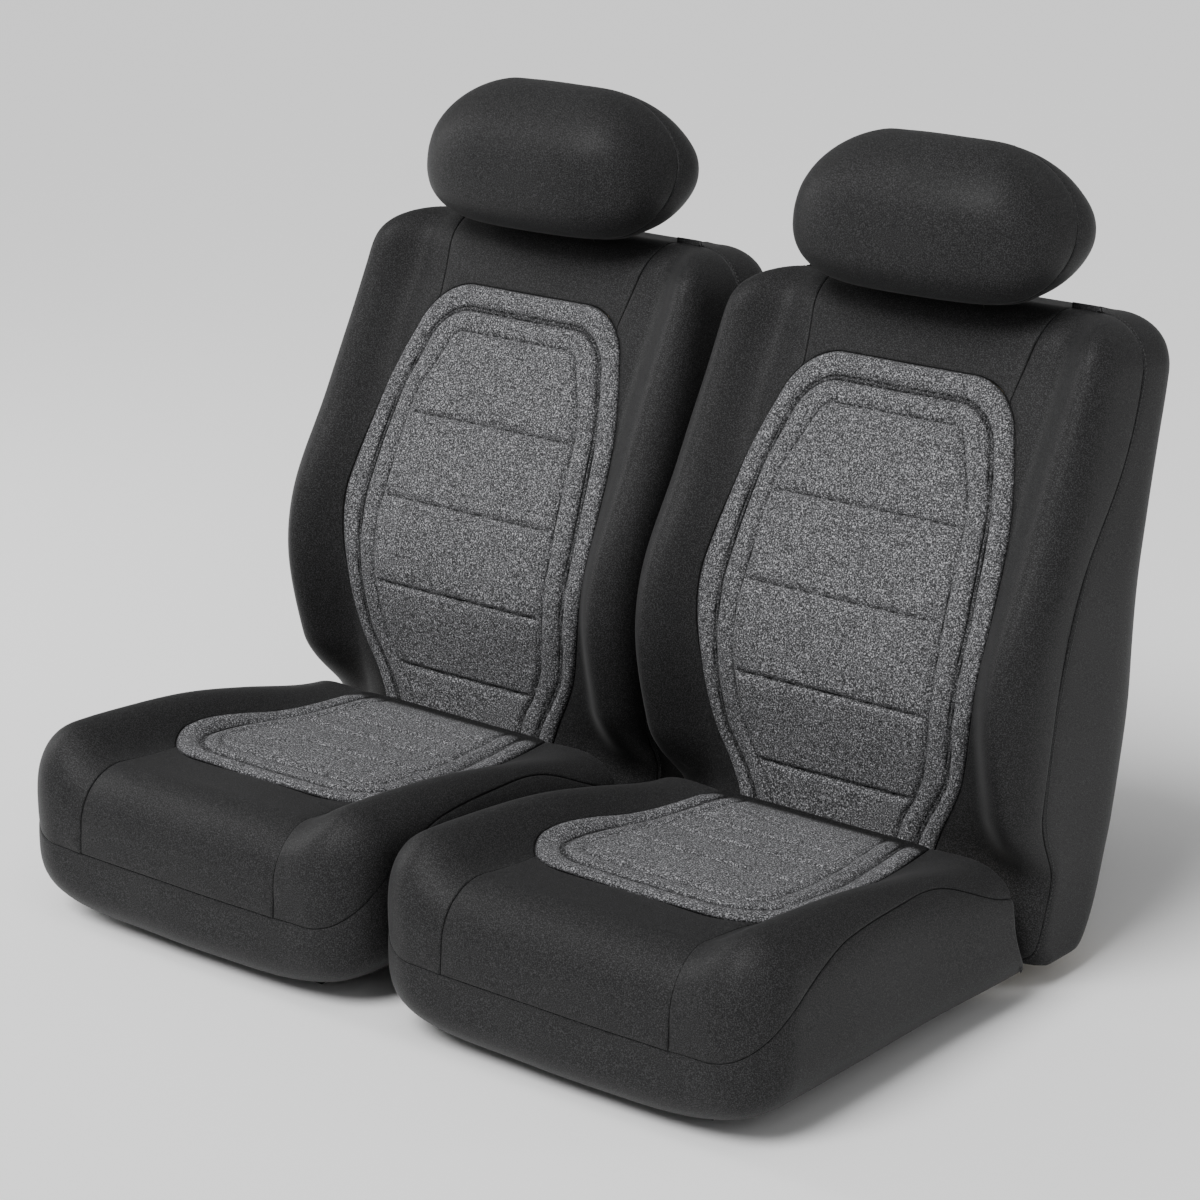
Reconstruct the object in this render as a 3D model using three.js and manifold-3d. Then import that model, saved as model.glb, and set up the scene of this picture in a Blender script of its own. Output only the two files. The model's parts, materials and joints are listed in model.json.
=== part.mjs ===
// A pair of bucket seats in a fitted cover set. Each seat has a cushion cover, a backrest cover and a
// headrest cover sewn from panels, over the foam, frame, recliner and headrest posts that carry them.
// Millimetres, +Z up. The seats face -Y and stand side by side along X; the origin is on the floor.
import * as THREE from "three";
import { mergeVertices } from "three/addons/utils/BufferGeometryUtils.js";
import Module from "manifold-3d";

const wasm = await Module();
wasm.setup();

// ---- Driving dimensions ----

const spaceBetweenSeats = 8;
const coverThickness = 6; // cloth with its foam backing
const seamGap = 0.5; // between neighbouring panels
const coverClearance = 0.85; // between a cover and the foam it is stretched over
const frameClearance = 0.35; // round frame parts let into the foam

// Cushion: widths across, heights above the floor, distances along Y.
const cushionHalfWidth = 276;
const cushionFront = -283;
const cushionUnderside = 12;
const cushionBolsterTop = 250;
const cushionDish = 50; // the seating surface below the bolster tops
const cushionCornerRadius = 74; // front corners, seen from above
const cushionRollRadius = 70; // front edge, seen from the side
const cushionOpening = { halfWidth: 196, front: -226 }; // open underside of the cushion cover

// Backrest.
const backHalfWidth = 281;
const backTop = 782;
const backDish = 55; // the insert behind the bolster crests
const backShoulderRadius = 62;
const backTopRollRadius = 46;
const backSlant = 0.16; // fall of the top towards the rear

const seatPitch = 2 * Math.max(backHalfWidth, cushionHalfWidth) + spaceBetweenSeats;

// Recliner: the round lower end of the backrest turns about this axis.
const hinge = { y: 334, z: 132, radius: 120 };
const troughGap = 0.6; // between the round lower end and the cushion behind it
const shaftRadius = 9;
const shaftClearance = 0.08;
const earX = 161; // inner face of the ears that carry the shaft
const earThickness = 8;
const slotGap = 3;

// Headrest.
const headHalfWidth = 178;
const headBottom = backTop - 20; // its front lip hangs before the top of the backrest
const headTop = headBottom + 188;
const headCornerRadius = 122;
const headRollRadius = 74;
const headRearRollRadius = 112;
const postSpacing = 150;
const postRadius = 6;
const postY = 438; // where the posts leave the top of the backrest
const postLean = 12; // degrees from upright
const postDepth = 124; // in the backrest; it leaves half of that at the end of 60 of travel
const postSocket = 88; // length in the headrest
const guideWall = 3;
const guideClearance = 0.08;

// Pan and seat tracks.
const trackHalfSpacing = 150;
const trackWidth = 34;
const trackHeight = cushionUnderside - 1;
const trackFront = -215;
const trackRear = 425;

// ---- Shape tables: [height or distance, value] ----

// The overall sizes that the tables below are drawn for; they stretch with the real ones.
const drawn = { backTop: 782, cushionReach: 283, headHeight: 188 };

const smooth = (v) => Math.min(1, Math.max(0, v)) ** 2 * (3 - 2 * Math.min(1, Math.max(0, v)));

function table(drawnPairs, stretch = 1) {
  const pairs = drawnPairs.map(([a, v]) => [a * stretch, v]);
  return (at) => {
    const i = pairs.findIndex(([a]) => a > at);
    if (i === 0) return pairs[0][1];
    if (i < 0) return pairs[pairs.length - 1][1];
    const [[a, p], [b, q]] = [pairs[i - 1], pairs[i]];
    const before = pairs[i - 2] ?? pairs[i - 1];
    const after = pairs[i + 1] ?? pairs[i];
    const t = (at - a) / (b - a);
    const m0 = ((q - before[1]) / (b - before[0])) * (b - a);
    const m1 = ((after[1] - p) / (after[0] - a)) * (b - a);
    const blend = 3 * t ** 2 - 2 * t ** 3;
    return (1 - blend) * p + (t ** 3 - 2 * t ** 2 + t) * m0 + blend * q + (t ** 3 - t ** 2) * m1;
  };
}

const scaled = (f, k) => (at) => f(at) * k;

// Backrest, against height: crest of the bolsters and rear face along Y, half width, side seam.
const up = backTop / drawn.backTop;
const hingeFront = hinge.y - hinge.radius;
const hingeRear = hinge.y + hinge.radius;
const backCrestY = table([
  [0, hingeFront], [132, hingeFront], [200, 194], [334, 162], [423, 176], [543, 246], [668, 306],
  [764, 345], [800, 352],
], up);
const backRearY = table([
  [0, hingeRear], [132, hingeRear], [300, 476], [393, 480], [500, 486], [640, 520], [751, 550],
  [800, 560],
], up);
const backWidth = scaled(
  table([
    [0, 0.93], [132, 0.95], [220, 0.975], [334, 1], [423, 1], [543, 0.99], [668, 0.965],
    [764, 0.94], [800, 0.93],
  ], up),
  backHalfWidth,
);
const backDishAt = scaled(table([
  [0, 0.05], [140, 0.1], [240, 0.75], [330, 1], [432, 1.08], [534, 0.84], [632, 0.85], [700, 0.92],
  [800, 1],
], up), backDish);
const backSideSeamY = table([
  [0, 275], [122, 262], [188, 256], [295, 254], [395, 272], [496, 312], [608, 392], [700, 436],
  [800, 462],
], up);
const backInsertWidth = table([
  [0, 130], [120, 134], [218, 160], [300, 185], [361, 198], [450, 202], [540, 194], [600, 182],
  [660, 166], [800, 150],
], up);
const backInsertTop = 686 * up;
const backInsertCorner = 58;
const yokeHalfWidth = 152;
const rearSeamInset = 24;

// Cushion, against the distance forward of the origin: top of the bolsters, dish, half width, seams.
const forth = -cushionFront / drawn.cushionReach;
const cushionTopZ = scaled(
  table([[-330, 0.74], [-204, 0.75], [-71, 0.87], [33, 0.95], [133, 0.99], [220, 1], [283, 0.97]], forth),
  cushionBolsterTop,
);
const cushionDishAt = scaled(table([
  [-330, 0.1], [-204, 0.2], [-63, 0.75], [40, 0.95], [120, 1], [200, 0.95], [283, 0.7],
], forth), cushionDish);
const cushionWidth = scaled(
  table([[-330, 0.96], [-100, 0.97], [100, 0.99], [283, 1]], forth),
  cushionHalfWidth,
);
const cushionSeamZ = table([
  [-330, 140], [-205, 144], [-100, 188], [-5, 201], [110, 201], [170, 185], [219, 158], [250, 130],
  [272, 110], [283, 102],
], forth);
const seamClimbX = 234; // the seam climbs outside this half width
const seamSteps = [-320, -205, -100, -5, 110, 170, 219, 250, 272].map((v) => v * forth);
const cushionInsertWidth = table([
  [-330, 140], [-214, 150], [-63, 172], [0, 180], [60, 182], [148, 168],
], forth);
const cushionInsertFront = 148 * forth;
const cushionInsertCorner = 72;
const frontPanelWidth = table([[90, 157], [160, 150], [283, 158]], forth);

// Headrest, against the height over its underside.
const over = (headTop - headBottom) / drawn.headHeight;
const headFrontY = table([[-22, 336], [98, 322], [208, 352]], over);
const headRearY = table([[-22, 508], [98, 538], [208, 524]], over);
const headSeamY = table([[-2, 372], [38, 412], [108, 446], [168, 448], [208, 430]], over);

// ---- Solids stacked from rings ----

const ringAngles = [0, 28, 50, 64, 77, 90, 103, 116, 130, 152, 180, 206, 240, 270, 300, 334];
const ringPower = 4.4;
const rounded = (h, r) => (h >= r ? 0 : r - Math.sqrt(Math.max(0, r * r - (r - h) ** 2)));

// A closed solid through rings of points; the ends are fans, domed by a little.
function stack(rings, dome = 0) {
  const n = rings[0].length;
  const points = rings.flat();
  const index = [];
  for (let r = 0; r < rings.length - 1; r++)
    for (let c = 0; c < n; c++) {
      const [a, b] = [r * n + c, r * n + ((c + 1) % n)];
      index.push(a, b, b + n, a, b + n, a + n);
    }
  const last = rings.length - 1;
  for (const [ring, first, flip] of [[rings[0], 0, true], [rings[last], last * n, false]]) {
    const centre = (of) => of.reduce((s, p) => s.add(p), new THREE.Vector3()).divideScalar(n);
    const middle = centre(ring);
    const outward = new THREE.Vector3().subVectors(middle, centre(rings[Math.floor(last / 2)]));
    points.push(middle.addScaledVector(outward.normalize(), dome));
    const m = points.length - 1;
    for (let c = 0; c < n; c++) {
      const [a, b] = [first + c, first + ((c + 1) % n)];
      index.push(...(flip ? [m, b, a] : [m, a, b]));
    }
  }
  let volume = 0;
  for (let i = 0; i < index.length; i += 3) {
    const [a, b, c] = [0, 1, 2].map((k) => points[index[i + k]]);
    volume += a.dot(new THREE.Vector3().crossVectors(b, c));
  }
  if (volume < 0) index.reverse();
  const position = new Float32Array(points.flatMap((p) => [p.x, p.y, p.z]));
  return new THREE.BufferGeometry()
    .setAttribute("position", new THREE.BufferAttribute(position, 3))
    .setIndex(index);
}

// The rounded solid of a form, drawn in all round by inset, its edges rounded less by eased.
function body(form, inset = 0, eased = inset) {
  const { from, to, start, end } = form;
  const rings = form.levels.map((t) => {
    const v = from + inset + (to - from - 2 * inset) * t;
    const ends = [
      [v - from - inset, start],
      [to - inset - v, end],
    ];
    let [half, near, far] = [form.half(v) - inset, form.near(v) - inset, form.far(v) + inset];
    for (const [h, r] of ends) {
      half -= rounded(h, Math.max(1, r.corner - eased));
      near -= rounded(h, Math.max(1, r.near - eased));
      far += rounded(h, Math.max(1, r.far - eased));
    }
    return ringAngles.map((degrees) => {
      const [c, s] = [Math.cos((degrees * Math.PI) / 180), Math.sin((degrees * Math.PI) / 180)];
      const x = half * Math.sign(c) * Math.abs(c) ** (2 / ringPower);
      const bowl = s > 0.05 ? form.relief(Math.abs(x), v) : 0;
      const power = s > 0 ? form.power : (form.rearPower ?? ringPower);
      const u = (near + far) / 2 + ((near - far) / 2) * Math.sign(s) * Math.abs(s) ** (2 / power);
      return form.place(x, u - bowl, v);
    });
  });
  return stack(rings, form.dome);
}

// A four-sided cutter that follows the form: x from left to right, u from low to high.
function zone(form, { left = -900, right = 900, low = -900, high = 900, from, to, steps }) {
  const value = (f, v) => (typeof f === "function" ? f(v) : f);
  const [a, b] = [from ?? form.from - 80, to ?? form.to + 80];
  const levels = steps ?? form.levels.map((t) => form.from + (form.to - form.from) * t);
  const inner = levels.filter((v) => v > a + 1 && v < b - 1);
  return stack(
    [a, ...inner, b].map((v) => [
      form.place(value(left, v), value(low, v), v),
      form.place(value(right, v), value(low, v), v),
      form.place(value(right, v), value(high, v), v),
      form.place(value(left, v), value(high, v), v),
    ]),
  );
}

// ---- manifold-3d: cuts and joins ----

function solid(geometry, weld = 1e-3) {
  const g = geometry.index ? geometry.toNonIndexed() : geometry.clone();
  g.deleteAttribute("normal");
  g.deleteAttribute("uv");
  const merged = mergeVertices(g, weld);
  return new wasm.Manifold(
    new wasm.Mesh({
      numProp: 3,
      vertProperties: new Float32Array(merged.attributes.position.array),
      triVerts: new Uint32Array(merged.index.array),
    }),
  );
}

function geometryOf(manifold) {
  const mesh = manifold.getMesh();
  return new THREE.BufferGeometry()
    .setAttribute("position", new THREE.BufferAttribute(new Float32Array(mesh.vertProperties), 3))
    .setIndex(new THREE.BufferAttribute(new Uint32Array(mesh.triVerts), 1));
}

const cut = (base, ...tools) => tools.reduce((s, t) => s.subtract(t), base);
const keep = (base, ...tools) => tools.reduce((s, t) => s.intersect(t), base);
const join = (...parts) => parts.reduce((a, b) => a.add(b));

const box = (x0, x1, y0, y1, z0, z1) =>
  solid(
    new THREE.BoxGeometry(x1 - x0, y1 - y0, z1 - z0).translate((x0 + x1) / 2, (y0 + y1) / 2, (z0 + z1) / 2),
  );

const rodX = (radius, x0, x1, y, z, segments = 44) =>
  solid(
    new THREE.CylinderGeometry(radius, radius, x1 - x0, segments)
      .rotateZ(Math.PI / 2)
      .translate((x0 + x1) / 2, y, z),
  );

// A plate across X with its outline given in the YZ plane.
const plateX = (outline, x0, x1) =>
  solid(
    new THREE.ExtrudeGeometry(new THREE.Shape(outline.map(([y, z]) => new THREE.Vector2(y, z))), {
      depth: x1 - x0,
      bevelEnabled: false,
    })
      .rotateX(Math.PI / 2)
      .rotateZ(Math.PI / 2)
      .translate(x0, 0, 0),
  );

// ---- Backrest ----

// How far the sides draw back where the backrest meets the cushion.
const waist = (v) => 60 * smooth((hinge.z + 103 - v) / 110);

const backForm = {
  from: hinge.z - hinge.radius,
  to: backTop,
  levels: [0.002, 0.012, 0.035, 0.08, 0.15, 0.28, 0.42, 0.53, 0.66, 0.8, 0.91, 0.96, 0.988, 1],
  start: { corner: 26, near: hinge.radius, far: hinge.radius },
  end: { corner: backShoulderRadius, near: backTopRollRadius, far: 34 },
  half: backWidth,
  near: (v) => -backCrestY(v),
  far: (v) => -backRearY(v),
  power: 6.5,
  rearPower: 6,
  relief: (x, v) => backDishAt(v) * (1 - smooth((x - 180) / 74)) + waist(v) * smooth((x - 120) / 150),
  dome: 0.4, // less than the gap in the trough
  place: (x, u, v) => new THREE.Vector3(x, -u, v - backSlant * smooth((v / up - 420) / 330) * (-u - 345)),
};

const half = seamGap / 2;
const backSteps = [120, 220, 300, 370, 450, 540, 600, 632, 654, 670, 680, 685].map((v) => v * up);
const insertHalf = ({ width, end, corner }) => (v) => width(v) - rounded(Math.max(0, end - v), corner);
const backInsert = { width: backInsertWidth, end: backInsertTop, corner: backInsertCorner };
const cushionInsert = { width: cushionInsertWidth, end: cushionInsertFront, corner: cushionInsertCorner };

// The insert, grown or shrunk by d, as a cutter through the front of the form.
function insertZone(form, insert, steps, from, low, d) {
  const edge = insertHalf(insert);
  const to = insert.end + d;
  const at = (v) => edge(Math.min(v - d, insert.end)) + d;
  const rows = steps.map((s) => s + d);
  return solid(zone(form, { left: (v) => -at(v), right: at, low, from, to, steps: rows }));
}

function backrest() {
  const outer = solid(body(backForm));
  const shell = cut(outer, solid(body(backForm, coverThickness)));
  const front = keep(shell, solid(zone(backForm, { low: (v) => -backSideSeamY(v) + half })));
  const behindFront = cut(shell, solid(zone(backForm, { low: (v) => -backSideSeamY(v) - half })));
  const rearSeam = (v) => -backRearY(v) + rearSeamInset;
  const rear = keep(shell, solid(zone(backForm, { high: (v) => rearSeam(v) - half })));
  const side = cut(behindFront, solid(zone(backForm, { high: (v) => rearSeam(v) + half })));
  const openBottom = box(-yokeHalfWidth, yokeHalfWidth, hinge.y - 100, hinge.y + 90, -50, 70);

  const insert = (d) => insertZone(backForm, backInsert, backSteps, -80, -hinge.y - 56, d);
  const corner = backInsertTop - backInsertCorner * 0.55;
  const edge = insertHalf(backInsert);
  const seamX = (v) => (v < corner ? edge(v) - 6 : yokeHalfWidth);
  const outside = (sign) =>
    solid(
      zone(backForm, {
        left: sign > 0 ? (v) => seamX(v) + half : -900,
        right: sign > 0 ? 900 : (v) => -seamX(v) - half,
        steps: [...backSteps, 740 * up],
      }),
    );
  const yoke = solid(
    zone(backForm, {
      left: (v) => -seamX(v) + half + 0.3,
      right: (v) => seamX(v) - half - 0.3,
      low: (v) => rearSeam(v) + half,
      from: corner - 8,
      steps: [...backSteps, 740 * up],
    }),
  );
  const inner = yokeHalfWidth + half;
  const slotEnd = earX + earThickness + slotGap;
  const betweenEars = box(-slotEnd, slotEnd, 0, 900, -50, hinge.z + 60);
  const beside = (sign) => box(sign > 0 ? inner : -900, sign > 0 ? 900 : -inner, 0, 900, -50, 1200);

  // Slots for the ears, and the bores for the headrest guides.
  const slots = join(...[-1, 1].map((sign) => earSlot(sign)));
  const bores = join(...[-1, 1].map((sign) => postRod(sign, postRadius + guideWall + 1.2, -postDepth - 16, 60)));

  const frame = backrestFrame(0);
  const shaftEnd = earX + earThickness + 8;
  const shaftBore = rodX(shaftRadius + 1, -shaftEnd, shaftEnd, hinge.y, hinge.z);
  const guideRoom = postRadius + guideWall + frameClearance;
  const guideHoles = join(...[-1, 1].map((sign) => postRod(sign, guideRoom, -postDepth - 26, 60)));
  const foam = cut(
    solid(body(backForm, coverThickness + coverClearance, coverThickness)),
    backrestFrame(frameClearance),
    slots,
    shaftBore,
    guideHoles,
  );
  return {
    backrest_frame: frame,
    backrest_foam: foam,
    backrest_center_pad: keep(front, insert(-half)),
    backrest_yoke: cut(keep(shell, yoke), insert(half), bores),
    backrest_bolster_left: cut(keep(front, outside(-1)), insert(half), slots),
    backrest_bolster_right: cut(keep(front, outside(1)), insert(half), slots),
    backrest_side_left: cut(keep(side, beside(-1)), slots, betweenEars),
    backrest_side_right: cut(keep(side, beside(1)), slots, betweenEars),
    backrest_rear_panel: cut(rear, slots, openBottom),
  };
}

const lean = THREE.MathUtils.degToRad(postLean);
const postTop = backTop - 16; // height of the point where the posts leave the backrest

// A rod along one post, between two distances from where it leaves the backrest.
function postRod(sign, radius, from, to, segments = 14) {
  return solid(
    new THREE.CylinderGeometry(radius, radius, to - from, segments)
      .translate(0, (from + to) / 2, 0)
      .rotateX(Math.PI / 2 - lean)
      .translate((sign * postSpacing) / 2, postY, postTop),
  );
}

// The way the ears pass through the round lower end of the backrest at any angle of the recliner.
function earSlot(sign) {
  const [a, b] = [earX - slotGap, earX + earThickness + slotGap].map((x) => x * sign).sort((p, q) => p - q);
  const hub = rodX(42, a, b, hinge.y, hinge.z);
  const reach = 140;
  const wedge = [
    [hinge.y - 20, hinge.z],
    [hinge.y - reach, hinge.z - reach * 0.62],
    [hinge.y - reach, hinge.z - reach],
    [hinge.y + reach, hinge.z - reach],
    [hinge.y + reach, hinge.z - reach * 0.38],
    [hinge.y + 20, hinge.z + 12],
  ];
  return join(hub, plateX(wedge, a, b));
}

// Two bent side bars on the recliner axis, joined by cross bars; grown by d it is the room it needs.
function backrestFrame(d) {
  const middleY = table([[132, 334], [260, 340], [400, 360], [500, 386], [620, 420], [650, 428]]);
  const heights = [hinge.z, 300, 420, 500];
  const bar = (sign) => {
    const [a, b] = [earX - 9 - d, earX - 0.5 + d].map((x) => x * sign).sort((p, q) => p - q);
    const outline = [
      ...heights.map((z) => [middleY(z) - 16 - d, z]),
      [middleY(640) - 16 - d, 640 + d],
      [middleY(640) + 16 + d, 640 + d],
      ...heights.map((z) => [middleY(z) + 16 + d, z]).reverse(),
    ];
    return join(plateX(outline, a, b), rodX(24 + d, a, b, hinge.y, hinge.z));
  };
  const cross = (z, depth, rise) => {
    const [y, x] = [middleY(z), earX - 4 + d];
    return box(-x, x, y - depth - d, y + depth + d, z - rise - d, z + rise + d);
  };
  const bars = join(bar(-1), bar(1), cross(616, 12, 12), cross(300, 6, 14));
  const bore = shaftRadius + (d > 0 ? 0 : shaftClearance);
  return cut(bars, rodX(bore, -300, 300, hinge.y, hinge.z));
}

// ---- Cushion ----

const cushionForm = {
  from: -320,
  to: -cushionFront,
  levels: [0, 0.18, 0.34, 0.5, 0.64, 0.76, 0.86, 0.93, 0.98, 1],
  start: { corner: 2, near: 2, far: 2 },
  end: { corner: cushionCornerRadius, near: cushionRollRadius, far: 44 },
  half: cushionWidth,
  near: cushionTopZ,
  far: () => cushionUnderside,
  power: ringPower,
  relief: (x, v) => cushionDishAt(v) * (1 - smooth((x - 150) / 84)),
  dome: 2,
  place: (x, u, v) => new THREE.Vector3(x, -v, u),
};
const cushionSteps = [-210, -63, 10, 60, 88, 108, 124, 137, 145, 147.5].map((v) => v * forth);

function cushion() {
  const trough = (gap) => rodX(hinge.radius + gap, -400, 400, hinge.y, hinge.z);
  const behind = (gap) => box(-400, 400, hinge.y - hinge.radius - gap, 500, hinge.z, 400);
  const whole = (inset, gap, eased = inset) =>
    cut(solid(body(cushionForm, inset, eased)), trough(gap), behind(gap));
  const { halfWidth, front } = cushionOpening;
  const opening = box(-halfWidth, halfWidth, front, 500, -50, 60);
  const shell = cut(
    whole(0, troughGap),
    whole(coverThickness, troughGap + coverThickness),
    keep(opening, box(-900, 900, -900, 900, -50, cushionUnderside + coverThickness + 1)),
  );
  // Everything below the perimeter seam, which runs low along the front and climbs along the sides.
  const below = (d) => {
    const high = (v) => cushionSeamZ(v) + d;
    return join(
      solid(zone(cushionForm, { high: cushionSeamZ(-cushionFront) + d })),
      solid(zone(cushionForm, { left: seamClimbX - d, high, steps: seamSteps })),
      solid(zone(cushionForm, { right: d - seamClimbX, high, steps: seamSteps })),
    );
  };
  const top = cut(shell, below(half));
  const skirt = keep(shell, below(-half));
  const insert = (d) => insertZone(cushionForm, cushionInsert, cushionSteps, -400, 20, d);
  const corner = cushionInsertFront - cushionInsertCorner * 0.6;
  const edge = insertHalf(cushionInsert);
  const seamX = (v) => (v < corner ? edge(v) - 8 : frontPanelWidth(v));
  const outside = (sign) =>
    solid(
      zone(cushionForm, {
        left: sign > 0 ? (v) => seamX(v) + half : -900,
        right: sign > 0 ? 900 : (v) => -seamX(v) - half,
        steps: [...cushionSteps, 180 * forth, 230 * forth],
      }),
    );
  const middle = solid(
    zone(cushionForm, {
      left: (v) => -seamX(v) + half,
      right: (v) => seamX(v) - half,
      from: corner - 8,
      steps: [...cushionSteps, 180 * forth, 230 * forth],
    }),
  );
  const inset = coverThickness + coverClearance;
  return {
    cushion_foam: whole(inset, troughGap + inset, coverThickness),
    cushion_center_pad: keep(top, insert(-half)),
    cushion_front_panel: cut(keep(top, middle), insert(half)),
    cushion_bolster_left: cut(keep(top, outside(-1)), insert(half)),
    cushion_bolster_right: cut(keep(top, outside(1)), insert(half)),
    cushion_skirt: skirt,
  };
}

// The pan, its ears and the two tracks it stands on.
function pan() {
  const top = cushionUnderside + coverThickness;
  const plate = box(-180, 180, cushionOpening.front + 6, 205, trackHeight - 1, top);
  const tail = box(-180, 180, 200, 400, trackHeight - 4, trackHeight);
  const track = (sign) => {
    const x = sign * trackHalfSpacing;
    return box(x - trackWidth / 2, x + trackWidth / 2, trackFront, trackRear, 0, trackHeight);
  };
  const ear = (sign) => {
    const [a, b] = [earX, earX + earThickness].map((x) => x * sign).sort((p, q) => p - q);
    const outline = [
      [hinge.y - 32, 8],
      [hinge.y - 21, hinge.z],
      [hinge.y + 21, hinge.z],
      [hinge.y + 60, 8],
    ];
    return join(plateX(outline, a, b), rodX(22, a, b, hinge.y, hinge.z));
  };
  const whole = join(plate, tail, track(-1), track(1), ear(-1), ear(1));
  return cut(whole, rodX(shaftRadius + shaftClearance, -300, 300, hinge.y, hinge.z));
}

// ---- Headrest ----

const headForm = {
  from: headBottom,
  to: headTop,
  levels: [0, 0.05, 0.18, 0.4, 0.65, 0.85, 0.96, 1],
  start: { corner: 70, near: 56, far: 60 },
  end: { corner: headCornerRadius, near: headRollRadius, far: headRearRollRadius },
  half: () => headHalfWidth,
  near: (v) => -headFrontY(v - headBottom),
  far: (v) => -headRearY(v - headBottom),
  power: 3.2,
  relief: () => 0,
  dome: 2,
  place: (x, u, v) => new THREE.Vector3(x, -u, v + 0.12 * smooth((headBottom + 138 - v) / 120) * (-u - 330)),
};

function headrest() {
  const inset = coverThickness + coverClearance;
  const shell = cut(solid(body(headForm)), solid(body(headForm, coverThickness)));
  const holes = join(...[-1, 1].map((sign) => postRod(sign, postRadius + 1, -60, 60)));
  const socket = join(...[-1, 1].map((sign) => postRod(sign, postRadius + frameClearance, -60, postSocket + 2)));
  const front = solid(zone(headForm, { low: (v) => -headSeamY(v - headBottom) + half }));
  const rear = solid(zone(headForm, { high: (v) => -headSeamY(v - headBottom) - half }));
  return {
    headrest_foam: cut(solid(body(headForm, inset, coverThickness)), socket),
    headrest_front_panel: cut(keep(shell, front), holes),
    headrest_rear_panel: cut(keep(shell, rear), holes),
  };
}

// ---- Both seats ----

const finishes = {
  black: { color: 0x141416, roughness: 0.9 },
  heather: { color: 0x4a4b4e, roughness: 0.95 },
  foam: { color: 0xc9b98a, roughness: 1 },
  steel: { color: 0x2a2b2d, roughness: 0.5, metalness: 0.8 },
  chrome: { color: 0xc8cacc, roughness: 0.2, metalness: 1 },
};

const finishNames = [
  [/center_pad/, "heather"],
  [/foam/, "foam"],
  [/post/, "chrome"],
  [/frame|pan$|shaft|guide/, "steel"],
  [/./, "black"],
];
const finishOf = (name) => finishes[finishNames.find(([pattern]) => pattern.test(name))[1]];

const pieces = { cushion_pan: pan(), ...cushion(), ...backrest(), ...headrest() };
const shaftReach = earX + earThickness + 4;
pieces.recliner_shaft = rodX(shaftRadius, -shaftReach, shaftReach, hinge.y, hinge.z);
for (const [name, sign] of [["left", -1], ["right", 1]]) {
  pieces[`headrest_guide_${name}`] = cut(
    postRod(sign, postRadius + guideWall, -postDepth - 4, 3),
    postRod(sign, postRadius + guideClearance, -postDepth - 20, 40),
  );
  pieces[`headrest_post_${name}`] = postRod(sign, postRadius, -postDepth, postSocket);
}

// The piece without the crumbs that cuts leave along a seam.
function whole(manifold) {
  const bodies = manifold.simplify(0.03).decompose();
  const main = bodies.reduce((a, b) => (b.volume() > a.volume() ? b : a));
  return solid(geometryOf(main), 0.02).simplify(0.03);
}

const set = new THREE.Group();
for (const [side, sign] of [["left", -1], ["right", 1]]) {
  for (const [name, manifold] of Object.entries(pieces)) {
    const material = new THREE.MeshStandardMaterial(finishOf(name));
    const geometry = geometryOf(whole(manifold)).translate((sign * seatPitch) / 2, 0, 0);
    const mesh = new THREE.Mesh(geometry, material);
    mesh.name = `${side}_${name}`;
    set.add(mesh);
  }
}

// The origin goes under the middle of the whole set.
const middle = new THREE.Box3().setFromObject(set).getCenter(new THREE.Vector3());
for (const mesh of set.children) mesh.geometry.translate(0, -middle.y, 0);

export default set;
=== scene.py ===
import json
import math

import bpy
import numpy as np
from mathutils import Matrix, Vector


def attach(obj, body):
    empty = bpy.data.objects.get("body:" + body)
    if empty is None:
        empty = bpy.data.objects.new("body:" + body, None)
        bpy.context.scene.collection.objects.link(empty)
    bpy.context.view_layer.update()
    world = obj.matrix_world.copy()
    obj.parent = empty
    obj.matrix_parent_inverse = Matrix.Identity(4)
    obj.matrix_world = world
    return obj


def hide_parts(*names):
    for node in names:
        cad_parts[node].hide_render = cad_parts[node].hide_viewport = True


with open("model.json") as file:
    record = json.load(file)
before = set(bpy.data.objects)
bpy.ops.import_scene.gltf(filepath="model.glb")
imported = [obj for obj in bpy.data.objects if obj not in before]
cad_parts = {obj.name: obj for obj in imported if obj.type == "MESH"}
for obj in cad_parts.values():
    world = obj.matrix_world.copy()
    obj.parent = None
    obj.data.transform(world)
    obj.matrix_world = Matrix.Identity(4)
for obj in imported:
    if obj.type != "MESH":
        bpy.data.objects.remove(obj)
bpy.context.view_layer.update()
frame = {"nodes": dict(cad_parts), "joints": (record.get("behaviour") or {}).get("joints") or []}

bl_info = {
    "name": "Bucket seat cover set",
    "version": (1, 0, 0),
    "blender": (4, 5, 0),
    "location": "3D View > Sidebar > Seat covers",
    "description": "Fitted cloth covers with quilted centre panels on a pair of bucket seats",
    "category": "Object",
}

MM = 0.001
SIDES = ("left", "right")

# ---- Places taken from the frame ----

HINGE_Y, HINGE_Z, HINGE_R = 334.0, 132.0, 120.0
RECLINE = {s: next(j for j in frame["joints"] if j["name"] == f"{s}_recline") for s in SIDES}
SEAT_X = {s: RECLINE[s]["pos_m"][0] / MM for s in SIDES}
SHIFT_Y = RECLINE["left"]["pos_m"][1] / MM - HINGE_Y


# ---- Curves ----

def smooth(v):
    """An even S from 0 to 1."""
    v = np.clip(v, 0, 1)
    return v * v * (3 - 2 * v)


def rounded(h, r):
    """How far a quarter round of radius r has drawn in at distance h from its end."""
    k = np.clip(r - h, 0, r)
    return r - np.sqrt(r * r - k * k)


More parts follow.
